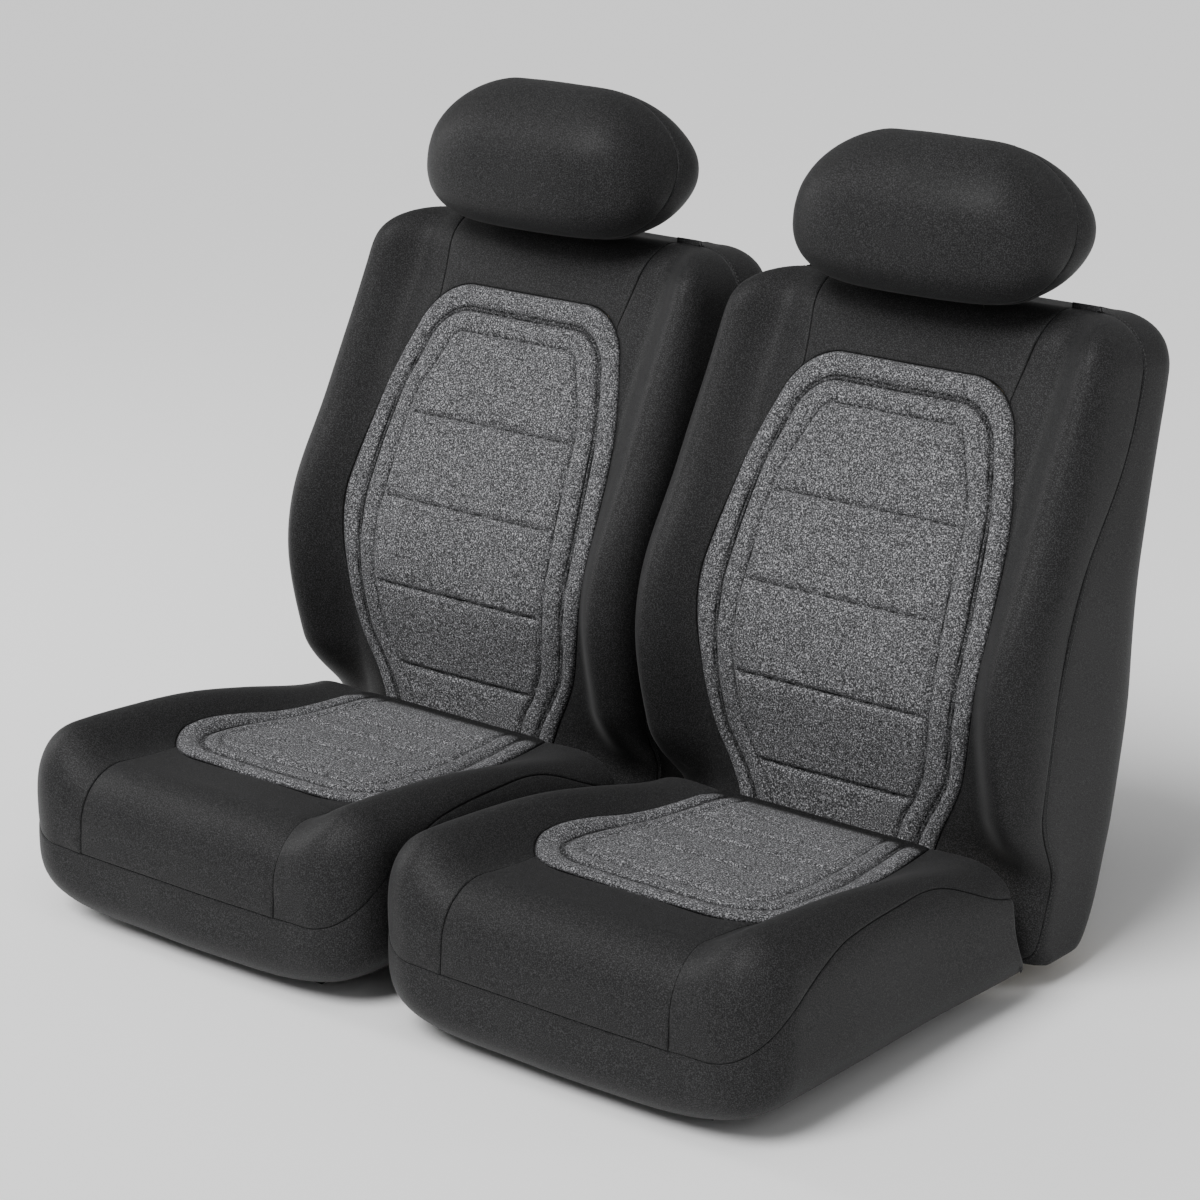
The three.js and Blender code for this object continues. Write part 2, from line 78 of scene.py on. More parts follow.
def table(*pairs):
    """A smooth curve through (place, value) pairs: cubic Hermite, level beyond its ends."""
    at, value = np.array(pairs, float).T
    slope = np.gradient(value, at)
    slope[1:-1] = (value[2:] - value[:-2]) / (at[2:] - at[:-2])

    def read(x):
        x = np.clip(x, at[0], at[-1])
        i = np.clip(np.searchsorted(at, x) - 1, 0, len(at) - 2)
        d = at[i + 1] - at[i]
        t = (x - at[i]) / d
        b = t * t * (3 - 2 * t)
        start, end = (t**3 - 2 * t**2 + t) * d * slope[i], (t**3 - t**2) * d * slope[i + 1]
        return (1 - b) * value[i] + start + b * value[i + 1] + end

    return read


def half_ring(q, px, front, rear):
    """Shares (x, w) on a superellipse |x|^px + |w|^p = 1 with p = front where q > 0 and rear below.
    q runs from 2 at the front middle by 0 at the flank to -2 at the rear middle. Between -1 and 1
    it is proportional to w, beyond to x."""
    p = np.where(q > 0, front, rear)
    a = np.abs(q)
    beside, beyond = np.minimum(a, 1) * 0.5 ** (1 / p), np.clip(2 - a, 0, 1) * 0.5 ** (1 / px)
    x = np.where(a <= 1, (1 - beside**p) ** (1 / px), beyond)
    w = np.where(a <= 1, beside, (1 - beyond**px) ** (1 / p))
    return x, np.sign(q) * w


def q_of_w(w, px, front, rear):
    """The q of half_ring where w is given."""
    p = np.where(w > 0, front, rear)
    a = np.clip(np.abs(w), 0, 0.9999)
    far = 2 - (1 - a**p) ** (1 / px) / 0.5 ** (1 / px)
    return np.sign(w) * np.where(a <= 0.5 ** (1 / p), a / 0.5 ** (1 / p), far)


def q_of_x(x, px, front):
    """The q of half_ring in front where x is given."""
    a = np.clip(np.abs(x), 0, 1)
    beside = (1 - a**px) ** (1 / front) / 0.5 ** (1 / front)
    return np.where(a <= 0.5 ** (1 / px), 2 - a / 0.5 ** (1 / px), beside)


# ---- Backrest: tables against height, in millimetres ----

BACK_LOW, BACK_TOP, BACK_HALF, BACK_DISH = 12.0, 782.0, 281.0, 55.0
back_crest = table((0, 214), (132, 214), (200, 194), (334, 162), (423, 176), (543, 246),
                   (668, 306), (764, 345), (800, 352))
back_rear = table((0, 454), (132, 454), (300, 476), (393, 480), (500, 486), (640, 520),
                  (751, 550), (800, 560))
back_width = table((0, 0.93), (132, 0.95), (220, 0.975), (334, 1), (423, 1), (543, 0.99),
                   (668, 0.965), (764, 0.94), (800, 0.93))
back_dish = table((0, 0.05), (120, 0.2), (180, 0.7), (240, 0.95), (330, 1.08), (432, 1.1),
                  (534, 0.86), (632, 0.85), (700, 0.92), (800, 1))
side_seam = table((0, 275), (122, 262), (188, 256), (295, 254), (395, 272), (496, 312),
                  (608, 392), (700, 436), (800, 462))
yoke_half = table((600, 140), (666, 143), (770, 158), (800, 160))
REAR_SEAM = 24.0
BACK_SLANT = 0.16


def back_section(v):
    """Half width, front and rear depth of the backrest at height v, its ends rounded off."""
    low, high = v - BACK_LOW, BACK_TOP - v
    half = BACK_HALF * back_width(v) - rounded(low, 26) - rounded(high, 62)
    near = -back_crest(v) - rounded(low, HINGE_R) - rounded(high, 46)
    far = -back_rear(v) + rounded(low, HINGE_R) + rounded(high, 34)
    return half, near, far


def back_relief(x, v):
    """How far the front is dished between the bolsters and drawn back at the waist."""
    waist = 50 * smooth((235 - v) / 110) * smooth((v - BACK_LOW) / 150)
    dish = BACK_DISH * back_dish(v) * (1 - smooth((np.abs(x) - 184) / 70))
    return dish + waist * smooth((np.abs(x) - 120) / 150)


def back_place(x, u, v):
    """Depth u and height v into the seat's own frame, the top falling to the rear."""
    z = v - BACK_SLANT * smooth((v - 420) / 330) * (-u - 345)
    return np.stack([x, -u, z], -1)


BACK_POWERS = (4.4, 6.5, 6.0)  # of a section: across, front half, rear half


def bow(x, half, powers):
    """Share w of a section's front half at x: |x / half|^px + w^p = 1."""
    return (1 - np.clip(np.abs(x) / half, 0, 1) ** powers[0]) ** (1 / powers[1])


def back_ring(q, v):
    """Point of the right half of the section at height v, at place q of half_ring."""
    half, near, far = back_section(v)
    x, w = half_ring(q, *BACK_POWERS)
    u = (near + far) / 2 + (near - far) / 2 * w
    relief = back_relief(x * half, v) * smooth(w / 0.9)
    return back_place(x * half, u - relief, v)


def back_front(x, v):
    """Point of the front surface at x and height v."""
    half, near, far = back_section(v)
    w = bow(x, half, BACK_POWERS)
    return back_place(x, (near + far) / 2 + (near - far) / 2 * w - back_relief(x, v), v)


def back_seam_q(v):
    """Where the section at height v is at the side seam's depth."""
    _half, near, far = back_section(v)
    return q_of_w((-side_seam(v) - (near + far) / 2) / ((near - far) / 2), *BACK_POWERS)


def back_rear_q(v):
    """Where the seam along the rear edge crosses the section."""
    _half, near, far = back_section(v)
    seam = np.maximum(-back_rear(v) + rounded(v - BACK_LOW, HINGE_R) + REAR_SEAM, far + 10)
    return q_of_w((seam - (near + far) / 2) / ((near - far) / 2), *BACK_POWERS)


# ---- Cushion: tables against the distance forward ----

CUSHION_BACK, CUSHION_FRONT, CUSHION_HALF = -320.0, 283.0, 276.0
CUSHION_TOP, CUSHION_LOW, CUSHION_DISH = 250.0, 12.0, 50.0
cushion_top = table((-330, 0.74), (-204, 0.75), (-71, 0.87), (33, 0.95), (133, 0.99), (220, 1),
                    (283, 0.97))
cushion_dish = table((-330, 0.1), (-204, 0.2), (-63, 0.75), (40, 0.95), (120, 1), (200, 0.95),
                     (283, 0.7))
cushion_width = table((-330, 0.96), (-100, 0.97), (100, 0.99), (283, 1))
cushion_seam = table((-330, 140), (-205, 144), (-100, 188), (-5, 201), (110, 201), (170, 185),
                     (219, 158), (250, 130), (272, 110), (283, 102))
front_panel_half = table((60, 168), (90, 160), (160, 150), (283, 158))
SEAM_LOW = 102.0


def cushion_section(v):
    """Half width, top and underside of the cushion at distance v forward."""
    h = CUSHION_FRONT - v
    half = CUSHION_HALF * cushion_width(v) - rounded(h, 74)
    top = CUSHION_TOP * cushion_top(v) - rounded(h, 70)
    return half, top, CUSHION_LOW + rounded(h, 44)


def cushion_relief(x, v):
    """How far the seat is dished between its bolsters."""
    return CUSHION_DISH * cushion_dish(v) * (1 - smooth((np.abs(x) - 150) / 84))


SEAT_POWERS = (4.4, 4.4, 4.4)


def cushion_ring(q, v):
    """Point of the right half of the section at distance v forward; q = 2 is the top's middle."""
    half, top, low = cushion_section(v)
    x, w = half_ring(q, *SEAT_POWERS)
    z = (top + low) / 2 + (top - low) / 2 * w
    relief = cushion_relief(x * half, v) * smooth(w / 0.86)
    return np.stack([x * half, -v + 0 * x, z - relief], -1)


def cushion_surface(x, v):
    """Point of the top at x and distance v forward."""
    half, top, low = cushion_section(v)
    w = bow(x, half, SEAT_POWERS)
    z = (top + low) / 2 + (top - low) / 2 * w - cushion_relief(x, v)
    return np.stack([x, -v + 0 * x, z], -1)


def cushion_q_of_z(z, v):
    """Where the section's flank is at height z."""
    _half, top, low = cushion_section(v)
    return q_of_w((z - (top + low) / 2) / ((top - low) / 2), *SEAT_POWERS)


# ---- Headrest: tables against height ----

HEAD_LOW, HEAD_TOP, HEAD_HALF = 762.0, 950.0, 178.0
head_front = table((740, 336), (860, 322), (970, 352))
head_rear = table((740, 508), (860, 538), (970, 524))
head_seam = table((760, 372), (800, 412), (870, 446), (930, 448), (970, 430))


def head_inside(p):
    """Below 1 inside the headrest: superellipses across, stacked upwards with rounded ends."""
    x, u = p[..., 0], -p[..., 1]
    v = p[..., 2].copy()
    for _ in range(8):
        v = p[..., 2] - 0.12 * smooth((900 - v) / 120) * (-u - 330)
    low, high = v - HEAD_LOW, HEAD_TOP - v
    inside = (low > 0) & (high > 0)
    low, high = np.maximum(low, 0), np.maximum(high, 0)
    half = HEAD_HALF - rounded(low, 70) - rounded(high, 122)
    near = -head_front(v) - rounded(low, 56) - rounded(high, 74)
    far = -head_rear(v) + rounded(low, 60) + rounded(high, 112)
    w = np.abs((u - (near + far) / 2) / ((near - far) / 2))
    ring = np.abs(x / half) ** 3.2 + w**3.2
    return np.where(inside, ring, 9.0), v


def head_cast(direction, centre):
    """Where rays from the centre leave the headrest, by halving."""
    low, high = np.zeros(direction.shape[:-1]), np.full(direction.shape[:-1], 320.0)
    for _ in range(34):
        mid = (low + high) / 2
        value, _v = head_inside(centre + direction * mid[..., None])
        low, high = np.where(value < 1, mid, low), np.where(value < 1, high, mid)
    return centre + direction * ((low + high) / 2)[..., None]


# ---- Panels: grids laid on a surface, then given thickness ----

SKIN = 6.0  # cloth with its foam backing
SEAM_ROUND = 2.3  # radius of the roll beside a seam
SEAM_SAG, SEAM_REACH = 1.2, 9.0  # how far the cloth sinks towards a seam, and from how far off
WAVE_SIZE, WAVE_HEIGHT = 190.0, 0.9
TROUGH_INSET = 2.6  # how far the backrest's low end is drawn in to turn freely


def marks(length, step):
    """Shares of a length: close together next to both seams, even in between."""
    near = np.array([0, 0.45, 1.0, 1.8, 2.9, 4.4, 6.6, 10.0])
    near = near[near < 0.35 * length]
    count = max(3, int(round((length - 2 * near[-1]) / step)) + 1)
    middle = np.linspace(near[-1], length - near[-1], count)
    return np.concatenate([near[:-1], middle, (length - near[:-1])[::-1]]) / length


def lengths(points, axis):
    """Distance along one direction of a grid, from its first row or column."""
    step = np.linalg.norm(np.diff(points, axis=axis), axis=-1)
    zero = np.zeros_like(np.take(step, [0], axis))
    return np.concatenate([zero, np.cumsum(step, axis)], axis)


def lay(surface, step, across=None, dense=(150, 110)):
    """Points of surface(s, t), with s across and t along from 0 to 1, moved along until rows and
    columns lie at the distances that marks gives."""
    t, s = np.meshgrid(np.linspace(0, 1, dense[0]), np.linspace(0, 1, dense[1]), indexing="ij")
    run = lengths(surface(s, t), 0)
    share = marks(run[-1].mean(), step)
    t2 = np.stack([np.interp(share * run[-1, i], run[:, i], t[:, 0]) for i in range(dense[1])], 1)
    s2 = np.broadcast_to(s[0], t2.shape)
    run = lengths(surface(s2, t2), 1)
    share = marks(run[:, -1].mean(), across or step)
    s3 = np.stack([np.interp(share * run[i, -1], run[i], s[0]) for i in range(len(t2))])
    t3 = np.stack([np.interp(s3[i], s[0], t2[i]) for i in range(len(t2))])
    return surface(s3, t3), s3, t3


def facing(points, centre):
    """Unit normals of a grid, away from centre."""
    n = np.cross(np.gradient(points, axis=1), np.gradient(points, axis=0))
    n /= np.linalg.norm(n, axis=-1, keepdims=True) + 1e-12
    for i, j in ((0, 0), (0, -1), (-1, 0), (-1, -1)):
        n[i, j] = n[i + (3 if i == 0 else -3), j + (3 if j == 0 else -3)]
    flip = (n * (points - centre)).sum() < 0
    return (-n if flip else n), flip


def edge_distance(points, seams):
    """Distance to the nearest seam edge; seams names the edges: s0, s1, t0, t1."""
    along, across = lengths(points, 0), lengths(points, 1)
    runs = {"t0": along, "t1": along[-1] - along, "s0": across, "s1": across[:, -1:] - across}
    return np.min([runs[k] for k in seams], axis=0) if seams else np.full(points.shape[:2], 99.0)


def waves(p, seed, size, amount):
    """Soft random unevenness: a sum of slow sine waves in fixed random directions."""
    rng = np.random.default_rng(seed)
    total = np.zeros(p.shape[:-1])
    for _ in range(7):
        d = rng.normal(size=3)
        d *= 2 * math.pi / (size * rng.uniform(0.7, 1.6)) / np.linalg.norm(d)
        total += np.sin(p @ d + rng.uniform(0, 6.28))
    return total * amount / 3


def mesh(name, points, faces, material):
    """A mesh object from points in metres and a list of face arrays, shaded smooth."""
    data = bpy.data.meshes.new(name)
    corners = np.concatenate([f.ravel() for f in faces])
    sizes = np.concatenate([np.full(len(f), f.shape[1]) for f in faces])
    data.vertices.add(len(points))
    data.vertices.foreach_set("co", points.astype(np.float32).ravel())
    data.loops.add(len(corners))
    data.loops.foreach_set("vertex_index", corners.astype(np.int32))
    data.polygons.add(len(sizes))
    starts = np.concatenate([[0], np.cumsum(sizes)[:-1]])
    data.polygons.foreach_set("loop_start", starts.astype(np.int32))
    data.polygons.foreach_set("use_smooth", np.ones(len(sizes), bool))
    data.update(calc_edges=True)
    data.validate()
    data.materials.append(material)
    obj = bpy.data.objects.new(name, data)
    bpy.context.scene.collection.objects.link(obj)
    return obj


def to_frame(points, side):
    """Millimetres in the seat's own frame into metres in the row frame."""
    return (points + np.array([SEAT_X[side], SHIFT_Y, 0])) * MM


def panel(side, name, laid, centre, seams, material, lift=None, seed=3, fade=1.0, tucked=False):
    """A sewn panel: the laid grid lifted along its normals and rolled down at its seams, closed
    with an inner face one skin lower and a rim. fade weakens the roll, and a tucked panel is
    drawn in where the low end of the backrest turns in its trough."""
    points = laid[0]
    normal, flip = facing(points, np.array(centre, float))
    d = edge_distance(points, seams)
    height = -rounded(np.minimum(d, SEAM_ROUND), SEAM_ROUND)
    height = fade * (height - SEAM_SAG * np.exp(-d / SEAM_REACH))
    height = height + waves(points, seed, WAVE_SIZE, WAVE_HEIGHT)
    if tucked:
        height = height - TROUGH_INSET * (1 - smooth((points[..., 2] - 110) / 70))
    if lift is not None:
        height = height + lift
    outer = points + normal * height[..., None]
    inner = points - normal * SKIN
    rows, cols = points.shape[:2]
    i = np.arange(rows * cols).reshape(rows, cols)
    quads = np.stack([i[:-1, :-1], i[:-1, 1:], i[1:, 1:], i[1:, :-1]], -1).reshape(-1, 4)
    ring = np.concatenate([i[0, :-1], i[:-1, -1], i[-1, :0:-1], i[:0:-1, 0]])
    following = np.roll(ring, -1)
    n = rows * cols
    rim = np.stack([following, ring, ring + n, following + n], -1)
    faces = np.concatenate([quads, quads[:, ::-1] + n, rim])
    if flip:
        faces = faces[:, ::-1]
    both = np.concatenate([outer.reshape(-1, 3), inner.reshape(-1, 3)])
    obj = mesh(f"{side}_{name}_cloth", to_frame(both, side), [faces], material)
    # The padding share is kept as an attribute for the heather finish, which paints shade from it
    # where the padding is low.
    if lift is not None:
        padding = obj.data.attributes.new("padding", "FLOAT", "POINT")
        share = np.tile(lift.ravel() / lift.max(), 2)
        padding.data.foreach_set("value", share.astype(np.float32))
    return obj, outer, normal


# ---- Insert: nested outlines, padded bands, channels ----

class Outline:
    """A rounded shape between x = -width(v) and width(v), ending at v = end with corner radius."""

    def __init__(self, end, corner, *width):
        self.width, self.end, self.corner = table(*width), end, corner

    def half(self, v):
        return self.width(v) - rounded(np.maximum(0, self.end - v), self.corner)

    def depth(self, x, v):
        """How far inside the outline a point lies; negative outside."""
        a = np.abs(x) - self.width(v) + self.corner
        b = v - self.end + self.corner
        out = np.hypot(np.maximum(a, 0), np.maximum(b, 0))
        return self.corner - out - np.minimum(np.maximum(a, b), 0)


BACK_OUT = Outline(694, 60, (0, 130), (120, 132), (175, 142), (250, 174), (333, 190), (405, 199),
                   (450, 200), (548, 188), (600, 175), (640, 162), (694, 151))
BACK_GROOVE = Outline(664, 44, (0, 106), (120, 108), (175, 118), (235, 148), (255, 157), (333, 166),
                      (405, 171), (450, 171), (550, 159), (613, 141), (664, 127))
BACK_FIELD = Outline(636, 12, (0, 80), (120, 82), (182, 92), (222, 112), (262, 127), (328, 137),
                     (400, 142), (435, 140), (550, 131), (600, 111), (636, 95))
BACK_CHANNELS = ((533, 0), (435, 0), (328, 0), (219, 0))

SEAT_OUT = Outline(148, 72, (-330, 140), (-214, 150), (-63, 172), (0, 180), (60, 182), (148, 168))
SEAT_GROOVE = Outline(120, 60, (-330, 114), (-214, 124), (-63, 146), (0, 153), (60, 155), (120, 146))
SEAT_FIELD = Outline(92, 34, (-330, 90), (-214, 98), (-63, 121), (0, 128), (60, 130), (92, 126))
SEAT_CHANNELS = ((9, 16), (-58, 14), (-106, 10))

GROOVE = 2.8


def pillow(t):
    """A padded roll across a band, t from 0 to 1."""
    return (1 - np.abs(2 * np.clip(t, 0, 1) - 1) ** 2.6) ** 0.7


def quilting(x, v, out, groove, field, channels, band, loft):
    """Height of the padding: two rolls, a double-stitched groove between them, and the field's
    panels, which fall to a stitch line at the channels and at the field's outline."""
    d0, d1, d2 = out.depth(x, v), groove.depth(x, v), field.depth(x, v)
    outer = band * pillow(d0 / np.maximum(d0 - (d1 + GROOVE), 1e-3))
    inner = band * 0.9 * pillow((d1 - GROOVE) / np.maximum(d1 - GROOVE - d2, 1e-3))
    ridge = 1.8 * np.clip(1 - (d1 / GROOVE) ** 2, 0, 1)
    edge = np.maximum(d2, 0)
    for place, bow in channels:
        line = place - bow * (x / 130) ** 2
        gap = np.hypot(v - line, np.maximum(0, 7 - d2) * 1.2)
        edge = np.minimum(edge, gap)
    panel_height = loft * (1 - np.clip(1 - edge / 8.5, 0, 1) ** 2.3) ** 0.75
    height = np.where(d1 < -GROOVE, outer, np.where(d1 < GROOVE, ridge, inner))
    return np.where(d2 > 0, panel_height, height)


# ---- Stitches ----

def seam_path(laid_edge, spacing):
    """Points at even distances along a line of points."""
    run = np.concatenate([[0], np.cumsum(np.linalg.norm(np.diff(laid_edge, axis=0), axis=1))])
    at = np.arange(spacing, run[-1] - spacing, spacing)
    return np.stack([np.interp(at, run, laid_edge[:, k]) for k in range(3)], 1)


STITCH_LENGTH, STITCH_RADIUS, STITCH_PITCH = 3.4, 0.55, 5.2


def stitches(side, name, path, up, material):
    """Thread stitches along a path: each a small spindle of four rings of six points."""
    along = np.gradient(path, axis=0)
    along /= np.linalg.norm(along, axis=1, keepdims=True)
    beside = np.cross(along, up)
    beside /= np.linalg.norm(beside, axis=1, keepdims=True)
    over = np.cross(beside, along)
    a = np.linspace(0, 2 * math.pi, 6, endpoint=False)
    rings = [(-0.5, 0.35, -0.5), (-0.28, 1, 0.15), (0.28, 1, 0.15), (0.5, 0.35, -0.5)]
    thick = STITCH_RADIUS
    local = np.array([[l * STITCH_LENGTH, r * thick * math.cos(t), (r * math.sin(t) + o) * thick]
                      for l, r, o in rings for t in a])
    points = (path[:, None] + along[:, None] * local[None, :, :1]
              + beside[:, None] * local[None, :, 1:2] + over[:, None] * local[None, :, 2:3])
    k = np.arange(6)
    sides = np.concatenate([np.stack([r * 6 + k, r * 6 + (k + 1) % 6, r * 6 + 6 + (k + 1) % 6,
                                      r * 6 + 6 + k], 1) for r in range(3)])
    ends = np.array([k[::-1], 18 + k])
    base = (np.arange(len(path)) * 24)[:, None, None]
    faces = [(sides[None] + base).reshape(-1, 4), (ends[None] + base).reshape(-1, 6)]
    faces = [f[:, ::-1] for f in faces]
    return mesh(f"{side}_{name}", to_frame(points.reshape(-1, 3), side), faces, material)


# ---- Materials ----

FINISHES = {}


def nodes_of(name):
    """A finish made once: the material and, the first time, its tree and shader to fill in."""
    if name in FINISHES:
        return FINISHES[name], None, None
    material = FINISHES[name] = bpy.data.materials.new(name)
    material.use_nodes = True
    tree = material.node_tree
    return material, tree, tree.nodes["Principled BSDF"]


def noise(tree, coords, scale, detail, rough):
    """Noise of so many periods a metre, from 0 to 1."""
    n = tree.nodes.new("ShaderNodeTexNoise")
    n.inputs["Scale"].default_value = scale
    n.inputs["Detail"].default_value = detail
    n.inputs["Roughness"].default_value = rough
    tree.links.new(coords, n.inputs["Vector"])
    return n.outputs["Fac"]


def ramp(tree, value, *stops):
    """Colours at (value, colour) stops, blended in between."""
    n = tree.nodes.new("ShaderNodeValToRGB")
    n.color_ramp.elements[0].position, n.color_ramp.elements[0].color = stops[0]
    n.color_ramp.elements[1].position, n.color_ramp.elements[1].color = stops[-1]
    for position, colour in stops[1:-1]:
        n.color_ramp.elements.new(position).color = colour
    tree.links.new(value, n.inputs["Fac"])
    return n.outputs["Color"]


def bump(tree, shader, height, strength, distance):
    """Raises the shader's surface by a height, in metres at full height."""
    n = tree.nodes.new("ShaderNodeBump")
    n.inputs["Strength"].default_value = strength
    n.inputs["Distance"].default_value = distance
    tree.links.new(height, n.inputs["Height"])
    tree.links.new(n.outputs["Normal"], shader.inputs["Normal"])


def grey(level):
    """A grey, very slightly blue."""
    return (level, level, level * 1.02, 1.0)


def black_cloth():
    """Fine stretch knit: near black, a faint speckle of brighter yarn, soft broad sheen."""
    material, tree, shader = nodes_of("stretch_knit")
    if tree is None:
        return material
    coords = tree.nodes.new("ShaderNodeTexCoord").outputs["Object"]
    speckle = noise(tree, coords, 800, 1.0, 0.4)
    colour = ramp(tree, speckle, (0.32, grey(0.010)), (0.5, grey(0.018)), (0.72, grey(0.045)))
    tree.links.new(colour, shader.inputs["Base Color"])
    shader.inputs["Roughness"].default_value = 0.52
    shader.inputs["Specular IOR Level"].default_value = 0.10
    shader.inputs["Sheen Weight"].default_value = bpy.context.scene.seat_cloth.sheen
    shader.inputs["Sheen Roughness"].default_value = 0.35
    bump(tree, shader, noise(tree, coords, 1300, 1.0, 0.5), 0.15, 0.0003)
    return material


def heather_cloth():
    """Brushed heather knit: black ground with short white flecks of yarn, with shade painted in
    where the stitching pulls it down, dimming the colour where the padding is low."""
    material, tree, shader = nodes_of("heather_knit")
    if tree is None:
        return material
    coords = tree.nodes.new("ShaderNodeTexCoord").outputs["Object"]
    fleck = noise(tree, coords, 600, 1.0, 0.6)
    colour = ramp(tree, fleck, (0.34, grey(0.018)), (0.50, grey(0.07)), (0.62, grey(0.19)),
                  (0.78, grey(0.55)))
    # painted shade: the padding share is low in grooves, channels, along seams and where the lift
    # fades out by the trough, and this ramp dims the flecked colour there
    padding = tree.nodes.new("ShaderNodeAttribute")
    padding.attribute_name = "padding"
    shade = ramp(tree, padding.outputs["Fac"], (0.08, grey(0.06)), (0.34, grey(0.7)),
                 (0.6, grey(1.0)))
    painted_shade_mix = tree.nodes.new("ShaderNodeMix")
    painted_shade_mix.data_type, painted_shade_mix.blend_type = "RGBA", "MULTIPLY"
    painted_shade_mix.inputs["Factor"].default_value = 1.0
    tree.links.new(colour, painted_shade_mix.inputs["A"])
    tree.links.new(shade, painted_shade_mix.inputs["B"])
    tree.links.new(painted_shade_mix.outputs["Result"], shader.inputs["Base Color"])
    shader.inputs["Roughness"].default_value = 0.9
    shader.inputs["Specular IOR Level"].default_value = 0.08
    shader.inputs["Sheen Weight"].default_value = 0.03
    shader.inputs["Sheen Roughness"].default_value = 0.5
    bump(tree, shader, noise(tree, coords, 700, 2.0, 0.6), 0.5, 0.0008)
    return material


def thread():
    """Polyester sewing thread with a slight twist."""
    material, tree, shader = nodes_of("thread")
    if tree is None:
        return material
    coords = tree.nodes.new("ShaderNodeTexCoord").outputs["Object"]
    twist = noise(tree, coords, 2500, 1.0, 0.5)
    colour = ramp(tree, twist, (0.3, grey(0.008)), (0.7, grey(0.03)))
    tree.links.new(colour, shader.inputs["Base Color"])
    shader.inputs["Roughness"].default_value = 0.5
    return material


def foam():
    """Moulded open-cell foam: pale, with fine pores."""
    material, tree, shader = nodes_of("moulded_foam")
    if tree is None:
        return material
    coords = tree.nodes.new("ShaderNodeTexCoord").outputs["Object"]
    pores = noise(tree, coords, 500, 4.0, 0.7)
    colour = ramp(tree, pores, (0.35, (0.30, 0.22, 0.10, 1)), (0.6, (0.62, 0.50, 0.30, 1)))
    tree.links.new(colour, shader.inputs["Base Color"])
    shader.inputs["Roughness"].default_value = 0.95
    bump(tree, shader, pores, 0.6, 0.001)
    return material


def hardware(name, dark, light, metallic, roughness, strength):
    """A painted, plated or moulded surface: slight colour variation and fine grain."""
    material, tree, shader = nodes_of(name)
    if tree is None:
        return material
    coords = tree.nodes.new("ShaderNodeTexCoord").outputs["Object"]
    colour = ramp(tree, noise(tree, coords, 60, 4.0, 0.6), (0.35, grey(dark)), (0.65, grey(light)))
    tree.links.new(colour, shader.inputs["Base Color"])
    shader.inputs["Metallic"].default_value = metallic
    shader.inputs["Roughness"].default_value = roughness
    bump(tree, shader, noise(tree, coords, 1800, 2.0, 0.5), strength, 0.0003)
    return material


# ---- The backrest cover ----

MIDDLE = (0, 350, 400)  # a point inside the backrest
PANEL_START = 30.0  # low end of the backrest's panels, hidden in the trough
REAR_HEM = 84.0  # low edge of the rear panel
YOKE_FROM = 672.0  # where the yoke's seams leave the insert's outline
BACK_CAP_FROM = 0.86  # share of a side panel's run at which it turns onto the flat top


def rise(t, low, high):
    """From low to high along a quarter sine, slowing towards the end to follow its round."""
    return low + (high - low) * np.sin(t * math.pi / 2)


def back_insert(side):
    """Heather insert: x is a share of the outline's half width, height rises to its top."""
    def surface(s, t):
        v = rise(t, PANEL_START, BACK_OUT.end)
        return back_front((2 * s - 1) * BACK_OUT.half(v), v)

    laid = lay(surface, 2.35, 2.4)
    v = rise(laid[2], PANEL_START, BACK_OUT.end)
    x = laid[0][..., 0]
    lift = quilting(x, v, BACK_OUT, BACK_GROOVE, BACK_FIELD, BACK_CHANNELS, 6.5, 6.5)
    lift = lift * smooth((v - 105) / 75)
    return panel(side, "backrest_insert", laid, MIDDLE, ("s0", "s1", "t1"), heather_cloth(), lift,
                 tucked=True)[0]


def over_top(x, start, share):
    """Along a fore-and-aft line at x: up the front from height start, back over the top, and
    on to the seam along the rear edge. share is 0.5 at the top's front edge."""
    front = back_front(x, rise(np.clip(share / 0.5, 0, 1), start, BACK_TOP))
    half, near, far = back_section(np.full_like(x, BACK_TOP))
    u0 = (near + far) / 2 + (near - far) / 2 * bow(x, half, BACK_POWERS)
    u0 = u0 - back_relief(x, np.full_like(x, BACK_TOP))
    u1 = -back_rear(BACK_TOP) + REAR_SEAM + 12
    k = np.clip((share - 0.5) / 0.5, 0, 1)
    crown = back_place(x, u0 + (u1 - u0) * k, np.full_like(x, BACK_TOP))
    return np.where((share < 0.5)[..., None], front, crown)


def outline_end(out, x, low):
    """Place where an outline closing towards its end is |x| wide, read back from its half width."""
    v = np.linspace(low, out.end, 400)
    return np.interp(-np.abs(x), -out.half(v), v)


def back_yoke(side):
    """Black yoke above the insert, between the two seams, over the top to the rear edge."""
    def surface(s, t):
        x = 2 * s - 1
        start = outline_end(BACK_OUT, x * yoke_half(np.full_like(x, YOKE_FROM)), 620)
        v = rise(np.clip(t * 2, 0, 1), start, BACK_TOP)
        return over_top(x * yoke_half(v), start, t)

    return panel(side, "backrest_yoke", lay(surface, 6), MIDDLE, ("s0", "s1", "t0", "t1"),
                 black_cloth(), seed=5)[0]


def inner_x(v):
    """Half width of the seam between bolster and middle: the insert's outline, then the yoke's."""
    insert = BACK_OUT.half(np.minimum(v, BACK_OUT.end))
    return np.where(v < 600, insert, np.maximum(np.where(v < BACK_OUT.end, insert, 0), yoke_half(v)))


